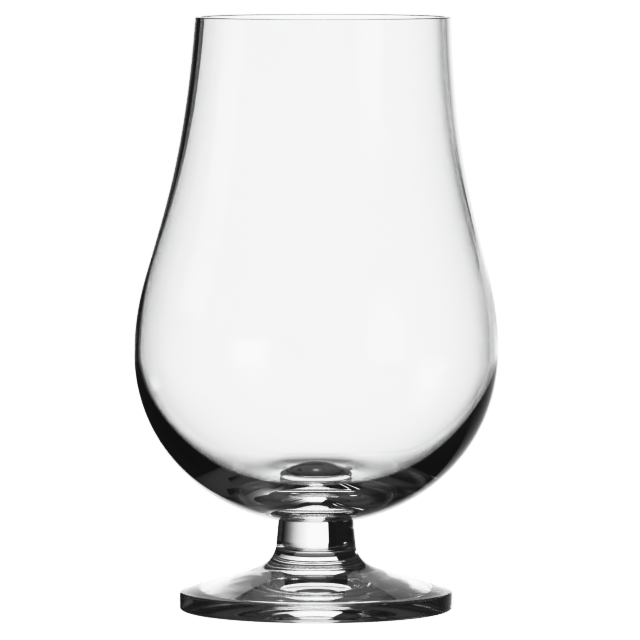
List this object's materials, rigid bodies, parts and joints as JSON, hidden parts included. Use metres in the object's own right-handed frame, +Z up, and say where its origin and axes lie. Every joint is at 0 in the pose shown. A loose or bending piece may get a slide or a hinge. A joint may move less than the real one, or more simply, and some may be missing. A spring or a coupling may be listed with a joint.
{
  "type": "tulip rum glass",
  "caption": "Clear tulip-shaped tasting glass: a blown bowl with a round belly and a narrower mouth, sealed to a short solid stem on a round flared foot.",
  "frame": {"origin": "middle of the flat ring under the foot, in the plane that the glass stands on", "axes": "+Z up along the axis of the glass, towards its mouth; the glass is round, so X and Y are alike"},
  "size_m": [0.072, 0.072, 0.1176],
  "materials": {
    "clear_glass": "clear, fire-polished"
  },
  "bodies": {
    "root": {"bowl": "clear_glass", "stem": "clear_glass", "foot": "clear_glass"}
  },
  "joints": []
}
